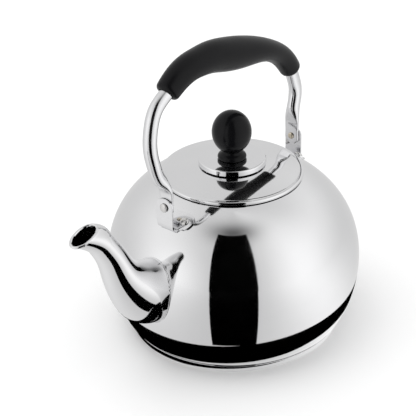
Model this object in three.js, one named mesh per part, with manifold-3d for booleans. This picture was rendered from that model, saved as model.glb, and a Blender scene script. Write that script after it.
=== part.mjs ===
// Stovetop whistling kettle: steel vessel, swan-neck spout, folding handle and a lid with its whistle.
// Millimetres, +Z up, origin at the centre of the base.
// The spout points along -X and the handle spans the XZ plane.
import * as THREE from "three";
import { mergeVertices } from "three/addons/utils/BufferGeometryUtils.js";
import Module from "manifold-3d";

const wasm = await Module();
wasm.setup();

// ---- Driving dimensions ----
const WALL = 0.8; // sheet thickness
const GAP = 0.3; // clearance between neighbouring pieces
const TURN = 36; // steps round the vessel
const SMALL_TURN = 20; // steps round small turned pieces

const BODY = { radius: 110, middle: 62, rise: 93.5, power: 2.2, drop: 108, top: 141 };
const FOOT = { radius: 93.2, z: 6.8, knuckle: 18 };
const NECK = { radius: 56, lip: 141.9, bottom: 133 };
const BASE = { radius: 92, wallTop: 5.2, edge: 1.2 };
const LID = { radius: 61.2, bottom: 142.2, top: 145.4, dome: 57.6, centre: 153.4, hole: 12.5 };
const CAP = { radius: 28.9, bottom: 152.6, top: 157, flat: 156.2, hole: 2.4 };
const KNOB = { radius: 16.9, half: 19, centre: 180.3, neck: 8.7, foot: 12.3, base: 156.6, socket: 3.4 };
const PIVOT = { x: 83.9, z: 145, hole: 2.8, shank: 2.4, head: 3.9 };
const STRAP = { half: 1.3, width: 7 };
const TUBE = { radius: 5.8, wall: 1 };
const SOCKET = { depth: 19, radius: 6.7 }; // the holes in the grip that hold the stems
const GRIP_SCREW = { shank: 1.5, hole: 1.9, head: 2.9, recess: 3.3, place: 11 };
const EAR = { inner: 85.5, outer: 87, width: 8.5, above: 7.6 };
const LUG = { inner: 70, outer: 83, reach: 87.4, half: 19.6, thick: 1.5, rivetY: 12.6, rivetR: 77 };
const STRAINER_HOLE = 3;
const WHISTLE = { radius: 12.3, bottom: 143, top: 151.6, hole: 1.5 };

// ---- Materials ----
function metal(name, color, roughness) {
  return new THREE.MeshStandardMaterial({ name, color, roughness, metalness: 1 });
}
const polished = metal("polished_steel", 0xd9d9dc, 0.05);
const rivetSteel = metal("rivet_steel", 0xc9c9cc, 0.2);
const aluminium = metal("aluminium", 0xb8babd, 0.4);
const brass = metal("brass", 0xc8a24a, 0.3);
const bakelite = new THREE.MeshStandardMaterial({ name: "bakelite", color: 0x0b0b0d, roughness: 0.3 });

// ---- Solids ----
const kettle = new THREE.Group();

function signedVolume(geometry) {
  const p = geometry.getAttribute("position");
  const [a, b, c] = [new THREE.Vector3(), new THREE.Vector3(), new THREE.Vector3()];
  let sum = 0;
  for (let i = 0; i < geometry.index.count; i += 3) {
    a.fromBufferAttribute(p, geometry.index.getX(i));
    b.fromBufferAttribute(p, geometry.index.getX(i + 1));
    c.fromBufferAttribute(p, geometry.index.getX(i + 2));
    sum += a.dot(b.cross(c));
  }
  return sum / 6;
}

// A geometry as a manifold-3d solid, with its faces turned outwards.
function solid(geometry) {
  const bare = geometry.clone();
  bare.deleteAttribute("normal");
  bare.deleteAttribute("uv");
  const merged = mergeVertices(bare, 1e-4);
  const triVerts = new Uint32Array(merged.index.array);
  if (signedVolume(merged) < 0) triVerts.reverse();
  return new wasm.Manifold(
    new wasm.Mesh({ numProp: 3, vertProperties: merged.attributes.position.array, triVerts }),
  );
}

function geometryOf(manifold) {
  const mesh = manifold.getMesh();
  return new THREE.BufferGeometry()
    .setAttribute("position", new THREE.BufferAttribute(mesh.vertProperties, mesh.numProp))
    .setIndex(new THREE.BufferAttribute(mesh.triVerts, 1));
}

function add(name, manifold, material) {
  const mesh = new THREE.Mesh(geometryOf(manifold), material);
  mesh.name = name;
  kettle.add(mesh);
}

// A solid of revolution about +Z, from a closed profile of [radius, z] points.
function turned(profile, steps = TURN) {
  const points = profile.map(([r, z]) => new THREE.Vector2(r, z));
  const closed = profile[0][0] > 0 || profile.at(-1)[0] > 0;
  if (closed) points.push(points[0].clone());
  return solid(new THREE.LatheGeometry(points, steps).rotateX(Math.PI / 2));
}

// A cylinder between two points.
function rod(from, to, radius, steps = SMALL_TURN) {
  const [a, b] = [new THREE.Vector3(...from), new THREE.Vector3(...to)];
  const way = b.clone().sub(a);
  const geometry = new THREE.CylinderGeometry(radius, radius, way.length(), steps);
  geometry.applyQuaternion(
    new THREE.Quaternion().setFromUnitVectors(new THREE.Vector3(0, 1, 0), way.clone().normalize()),
  );
  const middle = a.add(b).multiplyScalar(0.5);
  return solid(geometry.translate(middle.x, middle.y, middle.z));
}

// A closed solid through rings of points, each ring an array of the same length.
function loft(rings) {
  const n = rings[0].length;
  const positions = rings.flat().flatMap((p) => [p.x, p.y, p.z]);
  const index = [];
  for (let i = 0; i + 1 < rings.length; i++)
    for (let j = 0; j < n; j++) {
      const [a, b] = [i * n + j, i * n + ((j + 1) % n)];
      index.push(a, b, a + n, b, b + n, a + n);
    }
  const last = (rings.length - 1) * n;
  for (let j = 1; j + 1 < n; j++) {
    index.push(0, j + 1, j);
    index.push(last, last + j, last + j + 1);
  }
  const geometry = new THREE.BufferGeometry()
    .setAttribute("position", new THREE.Float32BufferAttribute(positions, 3))
    .setIndex(index);
  return solid(geometry);
}

// Points of a superellipse round a centre in the XZ plane, its in-plane axis at the angle `lean` from +X.
function ring({ x, z, lean, a, b, power = 2 }, steps) {
  return Array.from({ length: steps }, (_, i) => {
    const t = (2 * Math.PI * i) / steps;
    const round = (v) => Math.sign(v) * Math.abs(v) ** (2 / power);
    const [u, v] = [a * round(Math.cos(t)), b * round(Math.sin(t))];
    return new THREE.Vector3(x + u * Math.cos(lean), v, z + u * Math.sin(lean));
  });
}

// Sections along a path, with smooth values between the given ones. Each row is [x, z, a, b, power].
function sections(rows, steps) {
  const points = rows.map(([x, z]) => new THREE.Vector3(x, 0, z));
  const path = new THREE.CatmullRomCurve3(points, false, "centripetal");
  const at = (k, t) => {
    const s = t * (rows.length - 1);
    const i = Math.min(Math.floor(s), rows.length - 2);
    const f = THREE.MathUtils.smoothstep(s - i, 0, 1);
    return THREE.MathUtils.lerp(rows[i][k] ?? 2, rows[i + 1][k] ?? 2, f);
  };
  return Array.from({ length: steps + 1 }, (_, i) => {
    const t = i / steps;
    const p = path.getPoint(t);
    const way = path.getTangent(t);
    return { x: p.x, z: p.z, lean: Math.atan2(-way.x, way.z), a: at(2, t), b: at(3, t), power: at(4, t) };
  });
}

// ---- Vessel ----
function bodyRadius(z) {
  const share =
    z >= BODY.middle
      ? ((z - BODY.middle) / BODY.rise) ** BODY.power
      : ((BODY.middle - z) / BODY.drop) ** 2;
  return BODY.radius * Math.sqrt(1 - share);
}

// The vessel's outer outline, from the foot to the shoulder.
function bodyOutline() {
  const knuckle = new THREE.QuadraticBezierCurve(
    new THREE.Vector2(FOOT.radius, FOOT.z),
    new THREE.Vector2(FOOT.radius + 3.6, FOOT.z + 2.6),
    new THREE.Vector2(bodyRadius(FOOT.knuckle), FOOT.knuckle),
  );
  const points = knuckle.getPoints(3).map((p) => [p.x, p.y]);
  const [below, above] = [3, 7]; // steps under and over the widest place
  for (let i = 1; i <= below; i++) {
    const z = THREE.MathUtils.lerp(FOOT.knuckle, BODY.middle, i / below);
    points.push([bodyRadius(z), z]);
  }
  for (let i = 1; i <= above; i++) {
    // Steps close up towards the shoulder, where the outline bends most.
    const z = THREE.MathUtils.lerp(BODY.middle, BODY.top, Math.sin(((i / above) * Math.PI) / 2));
    points.push([bodyRadius(z), z]);
  }
  return points;
}

// An outline moved along its left-hand normal.
function offset(points, distance) {
  return points.map((p, i) => {
    const [a, b] = [points[Math.max(i - 1, 0)], points[Math.min(i + 1, points.length - 1)]];
    const way = new THREE.Vector2(b[0] - a[0], b[1] - a[1]).normalize();
    return [p[0] - way.y * distance, p[1] + way.x * distance];
  });
}

// A closed band between an outline and its offset.
function band(points, thickness) {
  return [...points, ...offset(points, thickness).reverse()];
}

// The space inside the vessel's outline grown by `margin`, used to fit pieces against the vessel.
function bodySpace(margin) {
  const outline = offset(bodyOutline(), -margin);
  return turned([[0, outline[0][1]], ...outline, [0, outline.at(-1)[1]]]);
}

const SPOUT_ROWS = [
  [-96, 74, 29, 21.5],
  [-112, 78.5, 28, 20.6],
  [-127, 90.2, 23.4, 18.4],
  [-140.5, 108, 16.3, 15.2],
  [-149.8, 128, 12.6, 12.5],
  [-161.8, 147.5, 11.2, 11.2],
];
const MOUTH = { x: -177.5, z: 160, lean: 0.32, a: 14.2, b: 9.4, lead: 9 };

function spoutRings(inset, overshoot) {
  const rings = sections(SPOUT_ROWS, 10);
  const end = rings.at(-1);
  // The centre curves on from the neck's own direction to the middle of the flared mouth.
  const path = new THREE.QuadraticBezierCurve(
    new THREE.Vector2(end.x, end.z),
    new THREE.Vector2(end.x - MOUTH.lead * Math.sin(end.lean), end.z + MOUTH.lead * Math.cos(end.lean)),
    new THREE.Vector2(MOUTH.x, MOUTH.z),
  );
  for (const f of [0.35, 0.7, 1]) {
    const mix = (key) => THREE.MathUtils.lerp(end[key], MOUTH[key], f);
    const centre = path.getPoint(f);
    rings.push({ x: centre.x, z: centre.y, lean: mix("lean"), a: mix("a"), b: mix("b"), power: 2 });
  }
  const mouth = rings.at(-1);
  mouth.x -= overshoot * 0.6;
  mouth.z += overshoot;
  return rings.map((r) => ring({ ...r, a: r.a - inset, b: r.b - inset }, 20));
}

function vessel() {
  const outline = bodyOutline();
  const lip = [[58, NECK.lip], [NECK.radius, NECK.lip - 1.2], [NECK.radius, NECK.bottom]];
  let shell = turned(band([...outline, ...lip], WALL));
  for (const y of [-10, 0, 10])
    for (const z of [56, 69, 82, 95])
      shell = shell.subtract(rod([-90, y, z], [-118, y, z], STRAINER_HOLE, 6));
  add("body_shell", shell, polished);

  const spout = loft(spoutRings(0, 0)).subtract(loft(spoutRings(WALL + 0.1, 3))).subtract(bodySpace(GAP));
  add("spout", spout, polished);

  const pan = [[0, 5.6], [93.6, 5.6], [93.6, 6.4], [0, 6.4]];
  add("bottom_pan", turned(pan), polished);
  add("heat_spreader", turned([[0, 1.1], [90, 1.1], [90, 5.3], [0, 5.3]]), aluminium);
  const cap = [
    [0, 0],
    [BASE.radius - BASE.edge, 0],
    [BASE.radius - 0.35, 0.35],
    [BASE.radius, BASE.edge],
    [BASE.radius, BASE.wallTop],
    [BASE.radius - WALL, BASE.wallTop],
    [BASE.radius - WALL, BASE.edge],
    [BASE.radius - BASE.edge, WALL],
    [0, WALL],
  ];
  add("base_cap", turned(cap), polished);
}

// ---- Handle lugs ----
// Each is a foot riveted to the shoulder and an ear for the pivot; `side` is -1 at the spout, 1 at the rear.
function lug(name, side) {
  const foot = new THREE.Shape();
  foot.moveTo(LUG.inner, -12);
  foot.quadraticCurveTo(LUG.inner + 1, -LUG.half, LUG.inner + 7, -LUG.half);
  foot.quadraticCurveTo(LUG.outer - 1, -LUG.half, LUG.outer, -12);
  foot.lineTo(LUG.reach, -EAR.width);
  foot.lineTo(LUG.reach, EAR.width);
  foot.lineTo(LUG.outer, 12);
  foot.quadraticCurveTo(LUG.outer - 1, LUG.half, LUG.inner + 7, LUG.half);
  foot.quadraticCurveTo(LUG.inner + 1, LUG.half, LUG.inner, 12);
  const upright = new THREE.ExtrudeGeometry(foot, { depth: 60, bevelEnabled: false, curveSegments: 5 });
  const plate = solid(upright.translate(0, 0, 100)).intersect(bodySpace(GAP + LUG.thick));

  const top = PIVOT.z + EAR.above;
  const ear = new THREE.Shape();
  ear.moveTo(-EAR.width, 118);
  ear.lineTo(EAR.width, 118);
  ear.lineTo(EAR.width, top - 6.5);
  ear.quadraticCurveTo(EAR.width - 0.6, top, 0, top);
  ear.quadraticCurveTo(-EAR.width + 0.6, top, -EAR.width, top - 6.5);
  const depth = EAR.outer - EAR.inner;
  const tab = new THREE.ExtrudeGeometry(ear, { depth, bevelEnabled: false, curveSegments: 6 });
  tab.rotateX(Math.PI / 2).rotateZ(Math.PI / 2).translate(EAR.inner, 0, 0);

  let made = plate.add(solid(tab)).subtract(bodySpace(GAP));
  made = made.subtract(rod([80, 0, PIVOT.z], [90, 0, PIVOT.z], PIVOT.hole, 12));
  for (const y of [-LUG.rivetY, LUG.rivetY]) made = made.subtract(lugRivetRod(y, -3, 8, 2.3, 12));
  add(name, side < 0 ? made.rotate([0, 0, 180]) : made, polished);
}

// A rod square to the shoulder at a lug rivet's place, on the rear side, between two heights off the skin.
function lugRivetRod(y, from, to, radius, steps = 12) {
  const r = LUG.rivetR;
  const x = Math.sqrt(r * r - y * y);
  const z = shoulderZ(r);
  const slope = shoulderZ(r + 0.5) - shoulderZ(r - 0.5);
  const normal = new THREE.Vector3((-slope * x) / r, (-slope * y) / r, 1).normalize();
  const point = (d) => [x + normal.x * d, y + normal.y * d, z + normal.z * d];
  return rod(point(from), point(to), radius, steps);
}

function shoulderZ(r) {
  return BODY.middle + BODY.rise * (1 - (r / BODY.radius) ** 2) ** (1 / BODY.power);
}

function lugRivets(name, side) {
  for (const [label, y] of [["left", LUG.rivetY], ["right", -LUG.rivetY]]) {
    const skin = GAP + LUG.thick;
    const shank = lugRivetRod(y, GAP, skin + 1, 2);
    const head = lugRivetRod(y, skin + GAP, skin + 1.5, 3.4).add(lugRivetRod(y, skin + 1.2, skin + 2, 2.4));
    const made = shank.add(head);
    add(`${name}_${label}`, side < 0 ? made.rotate([0, 0, 180]) : made, rivetSteel);
  }
}

function pivotRivet(name, side) {
  const [inner, outer] = [PIVOT.x - STRAP.half - GAP, EAR.outer + GAP];
  const along = (from, to, radius) => rod([from, 0, PIVOT.z], [to, 0, PIVOT.z], radius, 16);
  const made = along(inner - 1, outer + 1, PIVOT.shank)
    .add(along(outer, outer + 1.1, PIVOT.head))
    .add(along(outer + 1, outer + 1.7, PIVOT.head - 1))
    .add(along(inner - 1, inner, PIVOT.head - 0.5))
    .add(along(inner - 1.5, inner - 0.9, PIVOT.head - 1.4));
  add(name, side < 0 ? made.rotate([0, 0, 180]) : made, rivetSteel);
}

// ---- Handle ----
const FLAT = 5; // superellipse power of the flattened ends
const STEM_STEPS = 12;
const STEM_ROWS = {
  front: [
    [-83.9, 138, STRAP.half, 3.6, FLAT],
    [-83.9, 140.5, STRAP.half, 6.2, FLAT],
    [-83.9, 145, STRAP.half, STRAP.width, FLAT],
    [-83.9, 158, STRAP.half, STRAP.width, FLAT],
    [-86.8, 166, 4, 6.6, 2.4],
    [-90.6, 172, TUBE.radius, TUBE.radius],
    [-96.8, 187, TUBE.radius, TUBE.radius],
    [-100, 203, TUBE.radius, TUBE.radius],
    [-98.3, 220, TUBE.radius, TUBE.radius],
    [-92, 234, TUBE.radius, TUBE.radius],
  ],
  rear: [
    [83.9, 138, STRAP.half, 3.6, FLAT],
    [83.9, 140.5, STRAP.half, 6.2, FLAT],
    [83.9, 145, STRAP.half, STRAP.width, FLAT],
    [83.9, 158, STRAP.half, STRAP.width, FLAT],
    [84.4, 166, 4, 6.6, 2.4],
    [85.6, 172, TUBE.radius, TUBE.radius],
    [88, 183, TUBE.radius, TUBE.radius],
    [87.4, 193, TUBE.radius, TUBE.radius],
    [85, 200, TUBE.radius, TUBE.radius],
  ],
};
const GRIP_ROWS = [
  [-79.5, 243, 10, 10],
  [-67, 251.2, 11, 11],
  [-53.5, 256, 11.4, 12],
  [-40, 257, 12, 12.8],
  [-26, 256.4, 13.2, 13.4],
  [-9, 253, 14.2, 13.9],
  [12, 248.4, 13.6, 13.8],
  [33.5, 243.5, 11.2, 13],
  [53, 236, 9.6, 11.5],
  [66, 227.5, 9.6, 10.3],
  [76, 217, 9.6, 9.8],
  [81.4, 209.3, 9.3, 9.4],
];
const FIRST_ROUND_ROW = 5; // where a stem stops being flat

// A grip end: where it opens, the way into it, and the way from its axis to the finger side.
function gripEnd(end) {
  const [first, second] = end === "front" ? GRIP_ROWS : GRIP_ROWS.toReversed();
  const mouth = new THREE.Vector3(first[0], 0, first[1]);
  const inward = new THREE.Vector3(second[0], 0, second[1]).sub(mouth).normalize();
  const turn = end === "front" ? 1 : -1;
  const under = new THREE.Vector3(inward.z * turn, 0, -inward.x * turn);
  const along = (d) => mouth.clone().addScaledVector(inward, d);
  // A rod across the socket at the grip screw's place, between two distances from the axis.
  const across = (from, to, radius, steps) => {
    const at = along(GRIP_SCREW.place);
    const [a, b] = [from, to].map((d) => at.clone().addScaledVector(under, d).toArray());
    return rod(a, b, radius, steps);
  };
  return { along, across };
}

function stem(end) {
  const { along, across } = gripEnd(end);
  const round = (p) => [p.x, p.z, TUBE.radius, TUBE.radius];
  const rows = [...STEM_ROWS[end], round(along(0))];
  const outer = [...rows, round(along(SOCKET.depth - 1))];
  const bore = [...rows.slice(FIRST_ROUND_ROW), round(along(SOCKET.depth + 1))];
  const inset = ({ a, b, ...rest }) => ({ ...rest, a: a - TUBE.wall, b: b - TUBE.wall });
  const [x, z] = rows[2];
  const made = loft(sections(outer, outer.length * 2 - 2).map((s) => ring(s, STEM_STEPS)))
    .subtract(loft(sections(bore, bore.length * 2 - 2).map((s) => ring(inset(s), STEM_STEPS))))
    .subtract(rod([x - 5, 0, z], [x + 5, 0, z], PIVOT.hole, 12));
  const screwed = end === "front" ? made.subtract(across(0, TUBE.radius + 1, GRIP_SCREW.hole, 8)) : made;
  add(`${end}_stem`, screwed, polished);
}

function grip() {
  let made = loft(sections(GRIP_ROWS, 22).map((s) => ring(s, 16)));
  for (const end of ["front", "rear"]) {
    const { along } = gripEnd(end);
    made = made.subtract(rod(along(-4).toArray(), along(SOCKET.depth).toArray(), SOCKET.radius, STEM_STEPS));
  }
  const { across } = gripEnd("front");
  made = made
    .subtract(across(0, 20, GRIP_SCREW.hole, 10))
    .subtract(across(TUBE.radius + 1.9, 20, GRIP_SCREW.recess, 10));
  add("grip", made, bakelite);
}

// The rear tube is pressed into the grip, and the front one is held by a screw from the finger side.
function gripScrew() {
  const { across } = gripEnd("front");
  const seat = TUBE.radius + 2.2;
  const shank = across(2.5, seat + 0.5, GRIP_SCREW.shank, 10);
  add("grip_screw", shank.add(across(seat, seat + 1.6, GRIP_SCREW.head, 10)), rivetSteel);
}

// ---- Lid ----
function lid() {
  const drop = LID.centre - LID.top + 0.2;
  const curve = (LID.dome ** 2 + drop ** 2) / (2 * drop);
  const domeZ = (r) => LID.centre - curve + Math.sqrt(curve ** 2 - r ** 2);
  const rings = 5;
  const outline = Array.from({ length: rings }, (_, i) => {
    const r = LID.hole + ((LID.dome - LID.hole) * i) / (rings - 1);
    return [r, domeZ(r)];
  });
  const rim = [[59.8, LID.top], [60.9, LID.top - 0.5], [LID.radius, LID.top - 1.5], [LID.radius, LID.bottom]];
  add("lid_shell", turned(band([...outline, ...rim], -WALL)), polished);

  const collar = [
    [53.6, 133.5],
    [54.4, 133.5],
    [54.4, 143.1],
    [57.4, 143.1],
    [57.4, 143.9],
    [53.6, 143.9],
  ];
  add("lid_collar", turned(collar), polished);
  whistle();
  steamCap();
  knob();
}

function whistle() {
  const { radius: r, bottom, top, hole } = WHISTLE;
  const seat = r - 0.6;
  const holder = [
    [9.4, bottom],
    [r, bottom],
    [r, top - 0.8],
    [15.4, top - 0.8],
    [15.4, top],
    [seat, top],
    [seat, bottom + 0.6],
    [9.4, bottom + 0.6],
  ];
  add("whistle_case", turned(holder, 20), polished);
  // Each plate is dished towards the other round its hole, and the spacer ring holds them apart.
  const plate = (z, dish) => {
    const [out, thick] = [seat - GAP, 0.5];
    const face = [[hole, z + dish], [6, z + dish], [8, z], [out, z]];
    return turned([...face, ...face.toReversed().map(([r, h]) => [r, h + thick])], 20);
  };
  add("whistle_lower_plate", plate(bottom + 0.9, 1), polished);
  const [low, high] = [bottom + 1.7, top - 1.6];
  add("whistle_spacer", turned([[10.4, low], [11.3, low], [11.3, high], [10.4, high]], 20), polished);
  add("whistle_upper_plate", plate(top - 1.3, -1), polished);
}

function steamCap() {
  const outline = [
    [CAP.hole, CAP.flat],
    [13.5, CAP.flat],
    [26.8, CAP.top],
    [28.2, CAP.top - 0.3],
    [CAP.radius, CAP.top - 1.1],
    [CAP.radius, CAP.bottom],
  ];
  add("steam_cap", turned(band(outline, -WALL), 28), polished);
  for (const [i, turn] of [30, 150, 270].entries()) {
    const leg = new THREE.BoxGeometry(5, 7, 2.2).translate(19.5, 0, 154.1);
    add(`steam_cap_leg_${i + 1}`, solid(leg).rotate([0, 0, turn]), polished);
  }
}

function knob() {
  const { radius, half, centre, neck, foot, base, socket } = KNOB;
  const start = Math.asin(neck / radius);
  const rings = 10;
  const ball = Array.from({ length: rings }, (_, i) => {
    const t = start + ((Math.PI - start) * i) / rings;
    return [radius * Math.sin(t), centre - half * Math.cos(t)];
  });
  const flare = new THREE.CubicBezierCurve(
    new THREE.Vector2(foot, base + 1.2),
    new THREE.Vector2(foot, base + 4.2),
    new THREE.Vector2(neck, base + 4.4),
    new THREE.Vector2(neck - 0.3, base + 7),
  );
  const profile = [
    [0, base + 12],
    [socket, base + 12],
    [socket, base],
    [foot - 0.8, base],
    ...flare.getPoints(4).map((p) => [p.x, p.y]),
    ...ball,
    [0, centre + half],
  ];
  add("knob", turned(profile, 24), bakelite);
  const insert = [[2.3, base + 0.4], [3.1, base + 0.4], [3.1, base + 11], [2.3, base + 11]];
  add("knob_insert", turned(insert, 16), brass);
  const head = [[0, 153.1], [3.4, 153.1], [4.2, 153.8], [4.2, 155]];
  const screw = [...head, [1.9, 155], [1.9, base + 10], [0, base + 10]];
  add("knob_screw", turned(screw, 16), rivetSteel);
}

vessel();
for (const [end, side] of [["front", -1], ["rear", 1]]) {
  lug(`${end}_lug`, side);
  lugRivets(`${end}_lug_rivet`, side);
  pivotRivet(`${end}_pivot_rivet`, side);
}
grip();
for (const end of ["front", "rear"]) stem(end);
gripScrew();
lid();

export default kettle;
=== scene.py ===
"""The stovetop whistling kettle: fine pieces, materials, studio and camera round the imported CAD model."""

import math

import bmesh
import bpy
import numpy as np
from mathutils import Matrix, Vector


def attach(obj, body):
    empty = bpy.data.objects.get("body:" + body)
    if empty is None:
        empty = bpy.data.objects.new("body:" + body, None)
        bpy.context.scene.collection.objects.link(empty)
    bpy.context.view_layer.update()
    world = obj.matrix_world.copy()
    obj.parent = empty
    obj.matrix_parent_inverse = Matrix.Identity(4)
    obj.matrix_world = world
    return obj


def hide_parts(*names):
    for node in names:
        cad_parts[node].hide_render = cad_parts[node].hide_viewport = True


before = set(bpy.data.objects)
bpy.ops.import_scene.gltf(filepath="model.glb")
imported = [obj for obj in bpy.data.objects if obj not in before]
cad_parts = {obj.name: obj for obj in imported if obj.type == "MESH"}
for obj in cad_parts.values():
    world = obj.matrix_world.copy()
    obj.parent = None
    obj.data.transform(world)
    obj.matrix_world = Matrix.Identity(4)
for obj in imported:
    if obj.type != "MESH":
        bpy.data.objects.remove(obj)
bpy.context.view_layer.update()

MM = 0.001

# ---- Dimensions, in millimetres, the same as the CAD model's ----
WALL = 0.8
GAP = 0.3
BODY_R, BODY_MIDDLE, BODY_RISE, BODY_POWER, BODY_DROP, BODY_TOP = 110, 62, 93.5, 2.2, 108, 141
FOOT_R, FOOT_Z, KNUCKLE = 93.2, 6.8, 18
NECK_R, NECK_LIP, NECK_BOTTOM = 56, 141.9, 133
BASE_R, BASE_WALL = 92, 5.2
LID_BOTTOM, LID_TOP, LID_DOME, LID_CENTRE, LID_HOLE = 142.2, 145.4, 57.6, 153.4, 12.5
CAP_R, CAP_BOTTOM, CAP_TOP, CAP_FLAT, CAP_HOLE = 28.9, 152.6, 157, 156.2, 2.4
KNOB_R, KNOB_HALF, KNOB_CENTRE, KNOB_NECK, KNOB_FOOT, KNOB_BASE = 16.9, 19, 180.3, 8.7, 12.3, 156.6
PIVOT_X, PIVOT_Z, PIVOT_SHANK, PIVOT_HEAD = 83.9, 145, 2.4, 3.9
STRAP_HALF, STRAP_WIDTH = 1.3, 7
TUBE_R = 5.8
EAR_OUT, EAR_WIDTH, EAR_ABOVE, EAR_ROUND = 87, 8.5, 7.6, 6.5
EAR_FOLD_X, EAR_FOLD_REACH, EAR_FOLD_TAPER = 85.9, 5.4, 3.6  # where the ear folds, how far, and its narrowing
LUG_CORNER = 6.2  # how far the foot plate's corners are rounded off
LUG_IN, LUG_OUT, LUG_HALF, LUG_THICK, LUG_RIVET_Y, LUG_RIVET_R = 70, 83, 19.6, 1.5, 12.6, 77
STRAINER_R = 3

SPOUT = [
    # x, z, half depth, half width
    (-96, 74, 29, 21.5),
    (-112, 78.5, 28, 20.6),
    (-127, 90.2, 23.4, 18.4),
    (-140.5, 108, 16.3, 15.2),
    (-149.8, 128, 12.6, 12.5),
    (-161.8, 147.5, 11.2, 11.2),
]
MOUTH_BEAD = 1.2  # radius of the rolled rim, just inside the mouth's outline
BEAD_DROP, EDGE_PROUD, WELD_R = 0.3, 0.2, 0.55  # the rim set down, the wall's edge raised, the weld's radius
NECK_SHARE = 0.84  # how much of the spout's rings lie before the flare
MOUTH_X, MOUTH_Z, MOUTH_LEAN, MOUTH_A, MOUTH_B, MOUTH_LEAD = -177.5, 160, 0.32, 14.2, 9.4, 9

STEMS = {
    # x, z, half thickness, half width, squareness
    "front": [
        (-83.9, 138, STRAP_HALF, 3.6, 5),
        (-83.9, 140.5, STRAP_HALF, 6.2, 5),
        (-83.9, 145, STRAP_HALF, STRAP_WIDTH, 5),
        (-83.9, 158, STRAP_HALF, STRAP_WIDTH, 5),
        (-86.8, 166, 4, 6.6, 2.4),
        (-90.6, 172, TUBE_R, TUBE_R, 2),
        (-96.8, 187, TUBE_R, TUBE_R, 2),
        (-100, 203, TUBE_R, TUBE_R, 2),
        (-98.3, 220, TUBE_R, TUBE_R, 2),
        (-92, 234, TUBE_R, TUBE_R, 2),
        (-79.5, 243, TUBE_R, TUBE_R, 2),
        (-64.4, 252.9, TUBE_R, TUBE_R, 2),
    ],
    "rear": [
        (83.9, 138, STRAP_HALF, 3.6, 5),
        (83.9, 140.5, STRAP_HALF, 6.2, 5),
        (83.9, 145, STRAP_HALF, STRAP_WIDTH, 5),
        (83.9, 158, STRAP_HALF, STRAP_WIDTH, 5),
        (84.4, 166, 4, 6.6, 2.4),
        (85.6, 172, TUBE_R, TUBE_R, 2),
        (88, 183, TUBE_R, TUBE_R, 2),
        (87.4, 193, TUBE_R, TUBE_R, 2),
        (85, 200, TUBE_R, TUBE_R, 2),
        (81.4, 209.3, TUBE_R, TUBE_R, 2),
        (71.1, 224, TUBE_R, TUBE_R, 2),
    ],
}
GRIP = [
    # x, z, half depth, half width
    (-79.5, 243, 10, 10),
    (-67, 251.2, 11, 11),
    (-53.5, 256, 11.4, 12),
    (-40, 257, 12, 12.8),
    (-26, 256.4, 13.2, 13.4),
    (-9, 253, 14.2, 13.9),
    (12, 248.4, 13.6, 13.8),
    (33.5, 243.5, 11.2, 13),
    (53, 236, 9.6, 11.5),
    (66, 227.5, 9.6, 10.3),
    (76, 217, 9.6, 9.8),
    (81.4, 209.3, 9.3, 9.4),
]


# ---- Materials ----
def new_material(name, **values):
    """A principled material whose even values sit on the shader's own sockets."""
    material = bpy.data.materials.new(name)
    material.use_nodes = True
    shader = material.node_tree.nodes["Principled BSDF"]
    for key, value in values.items():
        shader.inputs[key.replace("_", " ")].default_value = value
    return material


def texture(material, kind, scale, **values):
    """A texture node in object space."""
    tree = material.node_tree
    place = tree.nodes.new("ShaderNodeTexCoord")
    node = tree.nodes.new(kind)
    node.inputs["Scale"].default_value = scale
    for key, value in values.items():
        node.inputs[key].default_value = value
    tree.links.new(place.outputs["Object"], node.inputs["Vector"])
    return node


def vary(material, socket, factor, low, high):
    """Runs a shader value between low and high as factor goes from 0 to 1."""
    tree = material.node_tree
    ramp = tree.nodes.new("ShaderNodeMapRange")
    ramp.inputs["From Min"].default_value, ramp.inputs["From Max"].default_value = 0.3, 0.7
    ramp.inputs["To Min"].default_value, ramp.inputs["To Max"].default_value = low, high
    tree.links.new(factor, ramp.inputs["Value"])
    tree.links.new(ramp.outputs["Result"], tree.nodes["Principled BSDF"].inputs[socket])


def vary_colour(material, factor, dark, light):
    tree = material.node_tree
    ramp = tree.nodes.new("ShaderNodeValToRGB")
    ramp.color_ramp.elements[0].color = (*dark, 1)
    ramp.color_ramp.elements[1].color = (*light, 1)
    tree.links.new(factor, ramp.inputs["Fac"])
    tree.links.new(ramp.outputs["Color"], tree.nodes["Principled BSDF"].inputs["Base Color"])


def bump(material, height, strength, distance):
    tree = material.node_tree
    node = tree.nodes.new("ShaderNodeBump")
    node.inputs["Strength"].default_value = strength
    node.inputs["Distance"].default_value = distance
    tree.links.new(height, node.inputs["Height"])
    tree.links.new(node.outputs["Normal"], tree.nodes["Principled BSDF"].inputs["Normal"])


def polished_steel():
    """Mirror-polished sheet: slow waves from spinning and faint wiping marks in the gloss."""
    material = new_material("polished_steel", Metallic=1.0)
    smudge = texture(material, "ShaderNodeTexNoise", 28, Detail=4, Roughness=0.6)
    vary(material, "Roughness", smudge.outputs["Fac"], 0.035, 0.075)
    vary_colour(material, smudge.outputs["Fac"], (0.78, 0.78, 0.79), (0.83, 0.83, 0.835))
    wave = texture(material, "ShaderNodeTexNoise", 9, Detail=1)
    bump(material, wave.outputs["Fac"], 0.25, 0.0006)
    return material


def drawn_steel():
    """The handle tubes and brackets: polished, with a slightly softer gloss."""
    material = new_material("drawn_steel", Metallic=1.0)
    grain = texture(material, "ShaderNodeTexNoise", 160, Detail=3)
    vary(material, "Roughness", grain.outputs["Fac"], 0.08, 0.15)
    vary_colour(material, grain.outputs["Fac"], (0.74, 0.74, 0.75), (0.82, 0.82, 0.83))
    bump(material, grain.outputs["Fac"], 0.1, 0.0001)
    return material


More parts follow.
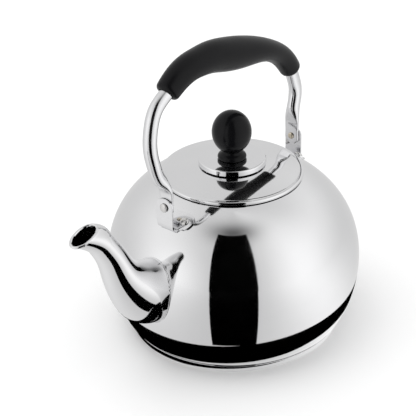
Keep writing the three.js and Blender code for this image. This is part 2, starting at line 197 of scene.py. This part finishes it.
def rivet_steel(name, dark, light):
    """Satin fasteners with a fine tumbled grain."""
    material = new_material(name, Metallic=1.0)
    grain = texture(material, "ShaderNodeTexNoise", 700, Detail=4)
    vary(material, "Roughness", grain.outputs["Fac"], 0.16, 0.3)
    vary_colour(material, grain.outputs["Fac"], dark, light)
    bump(material, grain.outputs["Fac"], 0.15, 0.00005)
    return material


def cast_aluminium():
    material = new_material("aluminium", Metallic=1.0)
    grain = texture(material, "ShaderNodeTexNoise", 300, Detail=6)
    vary(material, "Roughness", grain.outputs["Fac"], 0.35, 0.55)
    vary_colour(material, grain.outputs["Fac"], (0.6, 0.61, 0.62), (0.72, 0.72, 0.73))
    bump(material, grain.outputs["Fac"], 0.2, 0.0001)
    return material


def turned_brass():
    material = new_material("brass", Metallic=1.0)
    rings = texture(material, "ShaderNodeTexWave", 600, Distortion=1)
    vary(material, "Roughness", rings.outputs["Fac"], 0.2, 0.35)
    vary_colour(material, rings.outputs["Fac"], (0.6, 0.42, 0.16), (0.78, 0.58, 0.27))
    return material


def bakelite(name, low, high, grain_scale, grain_depth):
    """Black moulded plastic with a very fine surface grain."""
    material = new_material(name, Specular_IOR_Level=0.15)
    cloud = texture(material, "ShaderNodeTexNoise", 45, Detail=5)
    vary(material, "Roughness", cloud.outputs["Fac"], low, high)
    vary_colour(material, cloud.outputs["Fac"], (0.002, 0.002, 0.0025), (0.006, 0.006, 0.007))
    grain = texture(material, "ShaderNodeTexNoise", grain_scale, Detail=2)
    bump(material, grain.outputs["Fac"], 0.3, grain_depth)
    return material


STEEL = polished_steel()
DRAWN = drawn_steel()
RIVET = rivet_steel("rivet_steel", (0.62, 0.61, 0.6), (0.78, 0.77, 0.76))
WARM_RIVET = rivet_steel("warm_rivet_steel", (0.6, 0.53, 0.42), (0.74, 0.67, 0.55))
ALUMINIUM = cast_aluminium()
BRASS = turned_brass()
KNOB_BLACK = bakelite("knob_bakelite", 0.16, 0.24, 900, 0.00002)
GRIP_BLACK = bakelite("grip_bakelite", 0.26, 0.36, 1800, 0.00008)


# ---- Mesh helpers, all in millimetres ----
def make(name, verts, faces, material, sharp=35):
    """A smooth-shaded mesh object, with edges kept sharp where faces meet at more than `sharp` degrees."""
    mesh = bpy.data.meshes.new(name)
    mesh.from_pydata([Vector(v) * MM for v in verts], [], faces)
    work = bmesh.new()
    work.from_mesh(mesh)
    bmesh.ops.remove_doubles(work, verts=work.verts, dist=1e-7)
    bmesh.ops.recalc_face_normals(work, faces=work.faces)
    work.to_mesh(mesh)
    work.free()
    mesh.shade_smooth()
    mesh.set_sharp_from_angle(angle=math.radians(sharp))
    mesh.materials.append(material)
    obj = bpy.data.objects.new(name, mesh)
    bpy.context.scene.collection.objects.link(obj)
    return obj


def mount(obj, body, slot, *nodes):
    """Ties a piece to its CAD body and hides the CAD nodes it stands for; the slot argument is not used."""
    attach(obj, body)
    if nodes:
        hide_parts(*nodes)
    return obj


def spin(profile, steps):
    """Vertices and faces of a closed [radius, z] profile turned about +Z."""
    count = len(profile)
    verts = []
    for i in range(steps):
        angle = 2 * math.pi * i / steps
        verts += [(r * math.cos(angle), r * math.sin(angle), z) for r, z in profile]
    faces = []
    for i in range(steps):
        here, there = i * count, (i + 1) % steps * count
        for j in range(count):
            k = (j + 1) % count
            if profile[j][0] > 0 or profile[k][0] > 0:
                faces.append((here + j, there + j, there + k, here + k))
    return verts, faces


def lathe(name, profile, material, steps=192, sharp=35):
    verts, faces = spin(profile, steps)
    return make(name, verts, faces, material, sharp)


def skin(rings, close_ends=True):
    """Vertices and faces through rings of points, each of the same length."""
    count = len(rings[0])
    verts = [p for ring in rings for p in ring]
    faces = [
        (i * count + j, i * count + (j + 1) % count, (i + 1) * count + (j + 1) % count, (i + 1) * count + j)
        for i in range(len(rings) - 1)
        for j in range(count)
    ]
    if close_ends:
        last = (len(rings) - 1) * count
        faces += [tuple(reversed(range(count))), tuple(range(last, last + count))]
    return verts, faces


def thicken(outline, thickness):
    """A closed band between an open [r, z] outline and its offset to the left."""
    points = np.array(outline, float)
    way = np.gradient(points, axis=0)
    way /= np.linalg.norm(way, axis=1)[:, None]
    inner = points + thickness * np.stack([-way[:, 1], way[:, 0]], axis=1)
    return [tuple(p) for p in points] + [tuple(p) for p in inner[::-1]]


def arc(centre, radius, start, end, steps):
    """Points of a circular arc, angles in degrees."""
    angles = np.radians(np.linspace(start, end, steps))
    return [(centre[0] + radius * math.cos(a), centre[1] + radius * math.sin(a)) for a in angles]


class Spline:
    """A natural cubic spline through rows of numbers, spaced by the distance in their first two."""

    def __init__(self, rows):
        self.y = np.array(rows, float)
        step = np.linalg.norm(np.diff(self.y[:, :2], axis=0), axis=1)
        self.t = np.concatenate([[0], np.cumsum(step)])
        n = len(rows)
        system, right = np.eye(n), np.zeros_like(self.y)
        for i in range(1, n - 1):
            system[i, i - 1 : i + 2] = step[i - 1], 2 * (step[i - 1] + step[i]), step[i]
            after, before = self.y[i + 1] - self.y[i], self.y[i] - self.y[i - 1]
            right[i] = 6 * (after / step[i] - before / step[i - 1])
        self.bend = np.linalg.solve(system, right)
        self.step = step

    def at(self, t):
        i = min(max(int(np.searchsorted(self.t, t) - 1), 0), len(self.step) - 1)
        h = self.step[i]
        a, b = (self.t[i + 1] - t) / h, (t - self.t[i]) / h
        curve = (a**3 - a) * self.bend[i] + (b**3 - b) * self.bend[i + 1]
        return a * self.y[i] + b * self.y[i + 1] + curve * h * h / 6

    def places(self, steps):
        return np.linspace(0, self.t[-1], steps + 1)


def section(x, z, lean, half_depth, half_width, power, steps):
    """A superellipse across a path in the XZ plane; lean is the angle of its in-plane axis from +X."""
    points = []
    for i in range(steps):
        turn = 2 * math.pi * i / steps
        c, s = math.cos(turn), math.sin(turn)
        u = half_depth * math.copysign(abs(c) ** (2 / power), c)
        v = half_width * math.copysign(abs(s) ** (2 / power), s)
        points.append((x + u * math.cos(lean), v, z + u * math.sin(lean)))
    return points


def lean_at(spline, t):
    before, after = spline.at(t - 0.05), spline.at(t + 0.05)
    return math.atan2(-(after[0] - before[0]), after[1] - before[1])


# ---- Vessel ----
def body_radius(z):
    if z >= BODY_MIDDLE:
        return BODY_R * math.sqrt(1 - ((z - BODY_MIDDLE) / BODY_RISE) ** BODY_POWER)
    return BODY_R * math.sqrt(1 - ((BODY_MIDDLE - z) / BODY_DROP) ** 2)


def shoulder_z(r):
    return BODY_MIDDLE + BODY_RISE * (1 - (r / BODY_R) ** 2) ** (1 / BODY_POWER)


def body_outline():
    """The knuckle, the wall, and the neck turned in and down."""
    foot, bend = np.array([FOOT_R, FOOT_Z]), np.array([FOOT_R + 3.6, FOOT_Z + 2.6])
    wall = np.array([body_radius(KNUCKLE), KNUCKLE])
    shares = np.linspace(0, 1, 12)
    knuckle = [tuple((1 - t) ** 2 * foot + 2 * t * (1 - t) * bend + t * t * wall) for t in shares]
    places = KNUCKLE + (BODY_TOP - KNUCKLE) * np.sin(np.linspace(0, math.pi / 2, 90)[1:])
    side = [(body_radius(z), z) for z in places]
    lip = [(58, NECK_LIP), (56.6, NECK_LIP - 0.2), (NECK_R, NECK_LIP - 1.2), (NECK_R, NECK_BOTTOM)]
    return knuckle + side + lip


def cut(obj, cutters):
    """Cuts joined cylinders out of an object and drops the cutter."""
    modifier = obj.modifiers.new("holes", "BOOLEAN")
    modifier.operation, modifier.solver, modifier.object = "DIFFERENCE", "EXACT", cutters
    graph = bpy.context.evaluated_depsgraph_get()
    mesh = bpy.data.meshes.new_from_object(obj.evaluated_get(graph))
    obj.modifiers.clear()
    obj.data = mesh
    bpy.data.objects.remove(cutters)


def strainer_cutters():
    work = bmesh.new()
    turn = Matrix.Rotation(math.pi / 2, 4, "Y")
    for y in (-10, 0, 10):
        for z in (56, 69, 82, 95):
            place = Matrix.Translation(Vector((-104, y, z)) * MM) @ turn
            radius = STRAINER_R * MM
            size = {"radius1": radius, "radius2": radius, "depth": 28 * MM}
            bmesh.ops.create_cone(work, cap_ends=True, segments=24, matrix=place, **size)
    mesh = bpy.data.meshes.new("strainer_cutters")
    work.to_mesh(mesh)
    work.free()
    obj = bpy.data.objects.new("strainer_cutters", mesh)
    bpy.context.scene.collection.objects.link(obj)
    return obj


def build_body():
    shell = lathe("fine_body_shell", thicken(body_outline(), WALL), STEEL, 256)
    cut(shell, strainer_cutters())
    mount(shell, "vessel", "polished_steel", "body_shell")


def spout_line(spline, turn, t, inset):
    """A point on the spout's wall: along the path by t and round it by turn."""
    end = spline.t[-1]
    x, z, a, b = spline.at(min(t, end))
    lean = lean_at(spline, min(t, end - 0.1))
    if t > end:
        # The centre curves on from the neck's own direction to the middle of the flared mouth.
        share = t - end
        lead_x, lead_z = x - MOUTH_LEAD * math.sin(lean), z + MOUTH_LEAD * math.cos(lean)
        first, middle, last = (1 - share) ** 2, 2 * share * (1 - share), share**2
        x = first * x + middle * lead_x + last * MOUTH_X
        z = first * z + middle * lead_z + last * MOUTH_Z
        values = zip((lean, a, b), (MOUTH_LEAN, MOUTH_A, MOUTH_B))
        lean, a, b = [u + (v - u) * share for u, v in values]
    u, v = (a - inset) * math.cos(turn), (b - inset) * math.sin(turn)
    return Vector((x + u * math.cos(lean), v, z + u * math.sin(lean)))


def on_body(p):
    return math.hypot(p.x, p.y) - body_radius(p.z)


def spout_start(spline, turn, inset):
    """Where a line along the spout leaves the body."""
    low, high = 0.0, spline.t[2]
    for _ in range(30):
        middle = (low + high) / 2
        inside = on_body(spout_line(spline, turn, middle, inset)) < GAP
        low, high = (middle, high) if inside else (low, middle)
    return high


def spout_rings(spline, inset, around, along):
    """Rings from the body's surface to the flared mouth."""
    starts = [spout_start(spline, 2 * math.pi * j / around, inset) for j in range(around)]
    end = spline.t[-1] + 1
    rings = []
    for i in range(along + 1):
        share = i / along
        ring = []
        for j, start in enumerate(starts):
            flare = max(share - NECK_SHARE, 0) / (1 - NECK_SHARE)
            t = start + (end - 1 - start) * min(share / NECK_SHARE, 1) + flare
            ring.append(spout_line(spline, 2 * math.pi * j / around, t, inset))
        rings.append(ring)
    return rings


def build_spout():
    around, along = 96, 100
    spline = Spline(SPOUT)
    outer = spout_rings(spline, 0, around, along)
    inner = spout_rings(spline, WALL, around, along)
    edge = [(a + b) / 2 + Vector((0, 0, EDGE_PROUD)) for a, b in zip(outer[-1], inner[-1])]
    rings = outer + [edge] + inner[::-1]
    verts, faces = skin(rings + [outer[0]], close_ends=False)
    spout = make("fine_spout", verts, faces, STEEL, 60)
    mount(spout, "vessel", "polished_steel", "spout")
    seam = tube("spout_weld", outer[0], WELD_R, DRAWN, closed=True)
    mount(seam, "vessel", "polished_steel")
    rolled = spout_rings(spline, MOUTH_BEAD + 0.05, around, along)[-1]
    lowered = [p - Vector((0, 0, BEAD_DROP)) for p in rolled]
    rim = tube("spout_rolled_rim", lowered, MOUTH_BEAD, STEEL, closed=True)
    mount(rim, "vessel", "polished_steel")


def tube(name, path, radius, material, closed=False, steps=10):
    """A round bead along points."""
    count = len(path)
    rings = []
    for i, p in enumerate(path):
        before = path[(i - 1) % count] if closed or i else p
        after = path[(i + 1) % count] if closed or i < count - 1 else p
        way = (after - before).normalized()
        side = way.cross(Vector((0.3, 0.2, 0.93))).normalized()
        up = side.cross(way)
        turns = [2 * math.pi * k / steps for k in range(steps)]
        rings.append([p + side * (radius * math.cos(a)) + up * (radius * math.sin(a)) for a in turns])
    if closed:
        rings.append(rings[0])
    verts, faces = skin(rings, close_ends=not closed)
    return make(name, verts, faces, material)


def build_base():
    edge = arc((93.1, 6), 0.4, -90, 90, 10)
    pan = lathe("fine_bottom_pan", [(0, 5.6), (60, 5.6), *edge, (60, 6.4), (0, 6.4)], STEEL)
    mount(pan, "vessel", "polished_steel", "bottom_pan")
    corner = arc((BASE_R - 1.2, 1.2), 1.2, -90, 0, 10)
    lip = arc((BASE_R - 0.4, BASE_WALL - 0.4), 0.4, 0, 180, 8)
    inside = arc((BASE_R - 1.4, 1.4), 0.6, 0, -90, 6)
    cap = [(0, 0), (45, 0), (80, 0), *corner, *lip, *inside, (80, WALL), (45, WALL), (0, WALL)]
    base = lathe("fine_base_cap", cap, STEEL)
    mount(base, "vessel", "polished_steel", "base_cap")


# ---- Lugs ----
def lug_point(r, y, lift):
    """A point over the shoulder at radius r, `lift` off the shell's outer surface."""
    slope = (shoulder_z(r + 0.2) - shoulder_z(r - 0.2)) / 0.4
    length = math.hypot(1, slope)
    out, up = -slope / length * lift, lift / length
    x = math.sqrt(max(r * r - y * y, 0))
    return Vector((x + out * x / r, y + out * y / r, shoulder_z(r) + up))


def foot_ends(y):
    """The foot plate's inner and outer radius at a distance from its middle."""
    share = abs(y) / LUG_HALF
    round_off = LUG_CORNER * (1 - math.sqrt(max(1 - share**6, 0)))
    return LUG_IN + 0.4 + round_off, LUG_OUT - 0.2 - round_off


def build_lug(end, side):
    columns, rows = 49, 13
    bottom, top = GAP + 0.05, GAP + LUG_THICK - 0.05
    layers = []
    for lift in (bottom, top):
        grid = []
        for i in range(columns):
            y = -LUG_HALF * math.cos(math.pi * i / (columns - 1))
            low, high = foot_ends(y)
            for j in range(rows):
                grid.append(lug_point(low + (high - low) * j / (rows - 1), y, lift))
        layers.append(grid)
    verts = layers[0] + layers[1]
    half = columns * rows
    faces = []
    for i in range(columns - 1):
        for j in range(rows - 1):
            a = i * rows + j
            quad = (a, a + 1, a + rows + 1, a + rows)
            faces += [quad, tuple(half + k for k in reversed(quad))]
    border = [i * rows for i in range(columns)] + [(columns - 1) * rows + j for j in range(1, rows)]
    border += [i * rows + rows - 1 for i in range(columns - 2, -1, -1)] + list(range(rows - 2, 0, -1))
    for a, b in zip(border, border[1:] + border[:1]):
        faces.append((a, b, b + half, a + half))
    turn = Matrix.Rotation(math.pi if side < 0 else 0, 4, "Z")
    foot = make(f"fine_{end}_lug_foot", [turn @ v for v in verts], faces, DRAWN, 50)
    soften(foot, 0.35)
    mount(foot, "vessel", "polished_steel", f"{end}_lug")
    ear = ear_mesh(f"fine_{end}_lug_ear", turn)
    soften(ear, 0.35)
    mount(ear, "vessel", "polished_steel")


def ear_mesh(name, turn):
    """The ear, rising from the foot plate through a folded corner, with a rounded top."""
    top = PIVOT_Z + EAR_ABOVE
    fold = [(x, shoulder_z(x) + lift) for x, lift in ((80.5, GAP + 0.4), (83.6, GAP + 0.9), (85.7, 3.2))]
    path = fold + [(86.2, z) for z in np.linspace(128.5, top, 18)]
    points = np.array(path)
    way = np.gradient(points, axis=0)
    way /= np.linalg.norm(way, axis=1)[:, None]
    rings = []
    thick = LUG_THICK / 2 - 0.05
    for (x, z), (dx, dz) in zip(points, way):
        near_top = max(0.0, (z - (top - EAR_ROUND)) / EAR_ROUND)
        width = EAR_WIDTH * math.sqrt(max(1 - min(near_top, 0.985) ** 2.6, 0))
        # narrowed where it folds into the foot plate
        width -= EAR_FOLD_TAPER * max(0.0, (EAR_FOLD_X - x) / EAR_FOLD_REACH)
        normal = Vector((dz, 0, -dx))
        ring = []
        for lift, order in ((-thick, 1), (thick, -1)):
            for k in np.linspace(-1, 1, 9)[::order]:
                ring.append(Vector((x, width * k, z)) + normal * lift)
        rings.append([turn @ p for p in ring])
    verts, faces = skin(rings)
    return make(name, verts, faces, DRAWN, 50)


def soften(obj, width, segments=3):
    modifier = obj.modifiers.new("edges", "BEVEL")
    modifier.width, modifier.segments = width * MM, segments
    modifier.limit_method, modifier.angle_limit = "ANGLE", math.radians(40)
    modifier.harden_normals = True


def head_profile(radius, height, shank, depth):
    """A rivet's outline: its domed head above z = 0 and its shank below."""
    turns = np.linspace(0, math.pi / 2, 12)
    dome = [(radius * math.cos(a), height * (0.25 + 0.75 * math.sin(a))) for a in turns]
    return [(0, -depth), (shank, -depth), (shank, 0), (radius, 0), *dome[:-1], (0, height)]


def rivet(name, place, axis, profile, nodes, body="vessel"):
    verts, faces = spin(profile, 40)
    turn = Vector((0, 0, 1)).rotation_difference(axis).to_matrix()
    obj = make(name, [turn @ Vector(v) + place for v in verts], faces, RIVET, 40)
    return mount(obj, body, "rivet_steel", *nodes)


def build_lug_rivets(end, side):
    for label, y in (("left", LUG_RIVET_Y), ("right", -LUG_RIVET_Y)):
        start, above = lug_point(LUG_RIVET_R, y, 0), lug_point(LUG_RIVET_R, y, 1)
        axis = (above - start).normalized()
        place = start + axis * (GAP + LUG_THICK + 0.1)
        turn = Matrix.Rotation(math.pi if side < 0 else 0, 4, "Z")
        name = f"{end}_lug_rivet_{label}"
        rivet(f"fine_{name}", turn @ place, turn.to_3x3() @ axis, head_profile(3.5, 1.7, 2, 1.7), [name])


def build_pivot_rivet(end, side):
    inner, outer = PIVOT_X - STRAP_HALF - GAP, EAR_OUT + GAP
    flip = 1 if side > 0 else -1
    outside = head_profile(PIVOT_HEAD, 1.7, PIVOT_SHANK, outer - inner)
    axis = Vector((flip, 0, 0))
    head_place = Vector((flip * outer, 0, PIVOT_Z))
    rivet(f"fine_{end}_pivot_rivet", head_place, axis, outside, [f"{end}_pivot_rivet"])
    tail = head_profile(PIVOT_HEAD - 1, 1.3, PIVOT_SHANK - 0.2, 0.5)
    tail_end = rivet(f"{end}_pivot_tail", Vector((flip * inner, 0, PIVOT_Z)), -axis, tail, [])
    tail_end.data.materials[0] = WARM_RIVET


# ---- Handle ----
def build_stem(end):
    spline = Spline([row[:4] for row in STEMS[end]])
    powers = Spline([(row[0], row[1], math.log(row[4])) for row in STEMS[end]])
    rings = []
    for t in spline.places(110):
        x, z, a, b = spline.at(t)
        a, b = max(a, STRAP_HALF), min(b, STRAP_WIDTH)
        power = min(max(math.exp(powers.at(t)[2]), 2), 5)
        rings.append(section(x, z, lean_at(spline, t), min(a, TUBE_R), b, power, 48))
    verts, faces = skin(rings)
    stem = make(f"fine_{end}_stem", verts, faces, DRAWN, 45)
    mount(stem, "handle", "polished_steel", f"{end}_stem")


def build_grip():
    """The moulded grip, its ends rounded over round the tubes, with the mould's parting line."""
    spline = Spline(GRIP)
    end, bevel = spline.t[-1], 3.6
    rings = []
    for t in spline.places(150):
        x, z, a, b = spline.at(t)
        edge = min(t, end - t)
        pull = bevel * (1 - math.sqrt(max(1 - (1 - min(edge / bevel, 1)) ** 2, 0)))
        rings.append(section(x, z, lean_at(spline, t), a - pull - 0.1, b - pull - 0.05, 2, 64))

    def socket(t):
        x, z, _, _ = spline.at(t)
        return section(x, z, lean_at(spline, t), TUBE_R + 0.5, TUBE_R + 0.5, 2, 64)

    rings = [socket(6), socket(1.5)] + rings + [socket(end - 1.5), socket(end - 6)]
    verts, faces = skin(rings)
    grip = make("fine_grip", verts, faces, GRIP_BLACK, 60)
    mount(grip, "handle", "bakelite", "grip")
    parting = []
    for t in np.linspace(2.5, end - 2.5, 90):
        x, z, a, _ = spline.at(t)
        lean = lean_at(spline, t)
        out = a - 0.14
        parting.append(Vector((x + out * math.cos(lean), 0, z + out * math.sin(lean))))
    line = tube("grip_parting_line", parting, 0.16, GRIP_BLACK, steps=8)
    mount(line, "handle", "bakelite")


# ---- Lid ----
def build_lid():
    drop = LID_CENTRE - LID_TOP + 0.2
    curve = (LID_DOME**2 + drop**2) / (2 * drop)
    radii = np.linspace(LID_HOLE, LID_DOME, 40)
    dome = [(r, LID_CENTRE - curve + math.sqrt(curve**2 - r**2)) for r in radii]
    valley = [(58.2, LID_TOP - 0.12), (58.8, LID_TOP - 0.05)]
    bead = arc((59.7, LID_TOP - 1.5), 1.5, 95, -50, 18)
    outline = dome + valley + bead + [(60.5, LID_BOTTOM)]
    lid = lathe("fine_lid_shell", thicken(outline, -WALL), STEEL, 256, 40)
    mount(lid, "lid", "polished_steel", "lid_shell")
    collar = [(53.6, 133.5), (54.4, 133.5), (54.4, 143.1), (57.4, 143.1), (57.4, 143.9), (53.6, 143.9)]
    ring = lathe("fine_lid_collar", collar, STEEL)
    mount(ring, "lid", "polished_steel", "lid_collar")


def build_steam_cap():
    flat = [(CAP_HOLE, CAP_FLAT), (9, CAP_FLAT), (13.5, CAP_FLAT)]
    climb = CAP_TOP - CAP_FLAT
    rise = [(r, CAP_FLAT + climb * math.sin((r - 13.5) / 13 * math.pi / 2)) for r in range(15, 27)]
    rim = arc((CAP_R - 1.3, CAP_TOP - 1.3), 1.3, 90, 0, 10)
    outline = flat + rise + rim + [(CAP_R, CAP_BOTTOM)]
    cap = lathe("fine_steam_cap", thicken(outline, -WALL), STEEL, 192, 40)
    mount(cap, "lid", "polished_steel", "steam_cap")


def build_knob():
    start = math.asin(KNOB_NECK / KNOB_R)
    turns = np.linspace(start, math.pi, 60)
    ball = [(max(KNOB_R * math.sin(t), 0), KNOB_CENTRE - KNOB_HALF * math.cos(t)) for t in turns]
    ball[-1] = (0, KNOB_CENTRE + KNOB_HALF)
    points = [(KNOB_FOOT, 1.2), (KNOB_FOOT, 4.2), (KNOB_NECK, 4.4), (KNOB_NECK - 0.3, 7)]
    corners = [np.array([r, KNOB_BASE + z]) for r, z in points]
    flare = []
    for t in np.linspace(0, 1, 20):
        weights = ((1 - t) ** 3, 3 * t * (1 - t) ** 2, 3 * t * t * (1 - t), t**3)
        flare.append(tuple(sum(w * p for w, p in zip(weights, corners))))
    foot = [(0, KNOB_BASE + 12), (3.4, KNOB_BASE + 12), (3.4, KNOB_BASE), (KNOB_FOOT - 0.8, KNOB_BASE)]
    knob = lathe("fine_knob", foot + flare + ball, KNOB_BLACK, 128, 50)
    mount(knob, "lid", "bakelite", "knob")


# ---- CAD pieces that keep their own shape ----
KEPT = {
    "heat_spreader": ALUMINIUM,
    "knob_insert": BRASS,
    "knob_screw": RIVET,
    "grip_screw": RIVET,
    "whistle_case": DRAWN,
    "whistle_lower_plate": DRAWN,
    "whistle_spacer": DRAWN,
    "whistle_upper_plate": DRAWN,
    "steam_cap_leg_1": DRAWN,
    "steam_cap_leg_2": DRAWN,
    "steam_cap_leg_3": DRAWN,
}


def finish_kept_nodes():
    for name, material in KEPT.items():
        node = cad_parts[name]
        node.data.materials.clear()
        node.data.materials.append(material)


# ---- Studio ----
CAMERA_AZIMUTH = math.radians(-139)  # the way from the kettle to the camera, from +X towards +Y
CAMERA_HEIGHT = math.radians(28.9)
CAMERA_DISTANCE = 1.2
CAMERA_ROLL = math.radians(-1.45)
LENS, SENSOR = 118.4, 36
AIM_HEIGHT, AIM_RIGHT, AIM_UP = 0.075, -0.0215, 0.0286


def add_camera():
    """A long lens from the spout's side, aimed a little above and left of the vessel's middle."""
    flat, rise = math.cos(CAMERA_HEIGHT), math.sin(CAMERA_HEIGHT)
    back = Vector((flat * math.cos(CAMERA_AZIMUTH), flat * math.sin(CAMERA_AZIMUTH), rise))
    right = Vector((0, 0, 1)).cross(back).normalized()
    up = back.cross(right)
    aim = Vector((0, 0, AIM_HEIGHT)) + right * AIM_RIGHT + up * AIM_UP
    rolled_right = right * math.cos(CAMERA_ROLL) + up * math.sin(CAMERA_ROLL)
    rolled_up = back.cross(rolled_right)
    data = bpy.data.cameras.new("camera")
    data.lens, data.sensor_width = LENS, SENSOR
    camera = bpy.data.objects.new("camera", data)
    axes = Matrix((rolled_right, rolled_up, back)).transposed().to_4x4()
    camera.matrix_world = Matrix.Translation(aim + back * CAMERA_DISTANCE) @ axes
    bpy.context.scene.collection.objects.link(camera)
    bpy.context.scene.camera = camera


def stage_material(name, colour, glow=0.0):
    """A matt stage surface, or one that glows evenly."""
    material = new_material(name, Base_Color=(*colour, 1), Roughness=0.9, Specular_IOR_Level=0.0)
    shader = material.node_tree.nodes["Principled BSDF"]
    shader.inputs["Emission Color"].default_value = (1, 1, 1, 1)
    shader.inputs["Emission Strength"].default_value = glow
    return material


def only_in_reflections(obj):
    obj.visible_camera = False
    obj.visible_diffuse = False
    obj.visible_shadow = False


TENT = 2.4  # radius of the light tent, in metres
FLOOR_Z = -0.0006
RING_IN, RING_OUT, RING_RIGHT = 0.0975, 0.126, 0.0075  # the painted shade ring: a black floor ring that only reflections see, standing for the shade under the kettle, as the kettle's belly sees it
BLACK_TAPER = 0.6  # how fast the dark gap narrows over the floor
BLACK_HALF, BLACK_SPREAD, BLACK_LEFT, BLACK_TOP = 20.5, 4.5, 1.5, 65.5  # the camera's dark gap, in degrees
EYE_HEIGHT = 0.08


def sheet_path(near, top, z, radius):
    """Radius, height and elevation along a sheet: out over the floor, then up the tent."""
    out = [(r, z, -math.degrees(math.atan(EYE_HEIGHT / r))) for r in np.geomspace(near, radius, 40)]
    rises = np.radians(np.arange(2, top, 2))
    up = [(radius * math.cos(e), radius * math.sin(e), math.degrees(e)) for e in rises]
    end = math.radians(top)
    return out + up + [(radius * math.cos(end), radius * math.sin(end), top)]


def stage_sheet(name, edges, path, material, columns):
    """A stage surface between two azimuths from the camera's, which may change with elevation."""
    verts = []
    for radius, z, elevation in path:
        low, high = edges(elevation)
        for azimuth in np.linspace(low, high, columns + 1):
            angle = CAMERA_AZIMUTH + math.radians(azimuth)
            verts.append((radius * math.cos(angle) / MM, radius * math.sin(angle) / MM, z / MM))
    row = columns + 1
    faces = [
        (i * row + j, i * row + j + 1, (i + 1) * row + j + 1, (i + 1) * row + j)
        for i in range(len(path) - 1)
        for j in range(columns)
    ]
    obj = make(name, verts, faces, material)
    return obj


# Soft light from the tent: centre azimuth and elevation, their spreads, in degrees, and strength.
GLOWS = [
    (62, 5, 34, 65, 0.46),
    (-58, 8, 30, 30, 0.42),
    (-100, 40, 42, 26, 0.22),
    (120, 34, 45, 20, 0.18),
    (0, 68, 50, 10, -0.55),
    (0, 8, 38, 60, -0.12),
]
TENT_BASE = 0.72


def glow_at(azimuth, elevation):
    total = TENT_BASE
    for centre, height, spread, rise, strength in GLOWS:
        away = (azimuth - centre + 180) % 360 - 180
        total += strength * math.exp(-((away / spread) ** 2) - ((elevation - height) / rise) ** 2)
    return max(total, 0)


def paint_glow(obj):
    """Stores the tent's soft light as a colour on its points, which its material gives off."""
    values = []
    for vertex in obj.data.vertices:
        x, y, z = vertex.co
        azimuth = math.degrees(math.atan2(y, x) - CAMERA_AZIMUTH)
        flat = math.hypot(x, y)
        low = -math.degrees(math.atan(EYE_HEIGHT / max(flat, 0.01)))
        elevation = math.degrees(math.atan2(z, flat)) if z > 0 else low
        values += [glow_at(azimuth, elevation)] * 3 + [1.0]
    obj.data.color_attributes.new("glow", "FLOAT_COLOR", "POINT").data.foreach_set("color", values)
    tree = obj.data.materials[0].node_tree
    attribute = tree.nodes.new("ShaderNodeAttribute")
    attribute.attribute_name = "glow"
    tree.links.new(attribute.outputs["Color"], tree.nodes["Principled BSDF"].inputs["Emission Color"])


def gap_edges(elevation):
    """The dark gap's two azimuths: it widens upwards, and narrows over the floor towards the kettle."""
    if elevation < 0:
        half = BLACK_HALF * (1 - BLACK_TAPER * math.tan(math.radians(-elevation)))
        return -half - BLACK_LEFT, half - BLACK_LEFT
    rise = (elevation / BLACK_TOP) ** 2
    half, left = BLACK_HALF + BLACK_SPREAD * rise, BLACK_LEFT * (1 + rise)
    return -half - left, half - left


def everywhere(_):
    return 0, 360


def build_studio():
    """A white floor for the camera, and a light tent with a dark gap that only the gloss sees."""
    flat_path = [(r, FLOOR_Z, 0) for r in (0.001, 0.3, 8.0)]
    floor = stage_sheet("floor", everywhere, flat_path, stage_material("floor", (0.9, 0.9, 0.9)), 96)
    floor.visible_glossy = False

    tent_path = sheet_path(0.01, 90, -0.0004, TENT)
    tent = stage_sheet("tent", everywhere, tent_path, stage_material("tent", (0, 0, 0), 1), 120)
    paint_glow(tent)
    black = stage_material("black_gap_and_shade", (0, 0, 0))
    # Painted shade: a black ring on the floor, seen only in reflections, standing for the dark shaded floor
    # under the kettle's belly
    shade_sheet_path = [(r, -0.0003, 0) for r in (RING_IN, RING_OUT)]
    shade_sheet = stage_sheet("painted_shade_ring", everywhere, shade_sheet_path, black, 120)
    shade_sheet.location = Vector((-math.sin(CAMERA_AZIMUTH), math.cos(CAMERA_AZIMUTH), 0)) * RING_RIGHT
    gap_path = sheet_path(RING_OUT, BLACK_TOP, -0.0002, TENT - 0.1)
    gap = stage_sheet("camera_gap", gap_edges, gap_path, black, 24)
    for obj in (tent, shade_sheet, gap):
        only_in_reflections(obj)

    world = bpy.data.worlds.new("studio")
    world.use_nodes = True
    background = world.node_tree.nodes["Background"]
    background.inputs["Color"].default_value = (1, 1, 1, 1)
    background.inputs["Strength"].default_value = 1.12
    bpy.context.scene.world = world
    bpy.context.scene.view_settings.view_transform = "Standard"
    lamp = bpy.data.lights.new("key", "AREA")
    lamp.shape, lamp.size, lamp.energy = "DISK", 1.4, 6
    key = bpy.data.objects.new("key", lamp)
    key.location = (-0.6, 0.5, 1.8)
    key.rotation_euler = (-key.location).to_track_quat("-Z", "Y").to_euler()
    key.visible_glossy = False
    bpy.context.scene.collection.objects.link(key)


build_body()
build_spout()
build_base()
for end, side in (("front", -1), ("rear", 1)):
    build_lug(end, side)
    build_lug_rivets(end, side)
    build_pivot_rivet(end, side)
    build_stem(end)
build_grip()
build_lid()
build_steam_cap()
build_knob()
finish_kept_nodes()
add_camera()
build_studio()
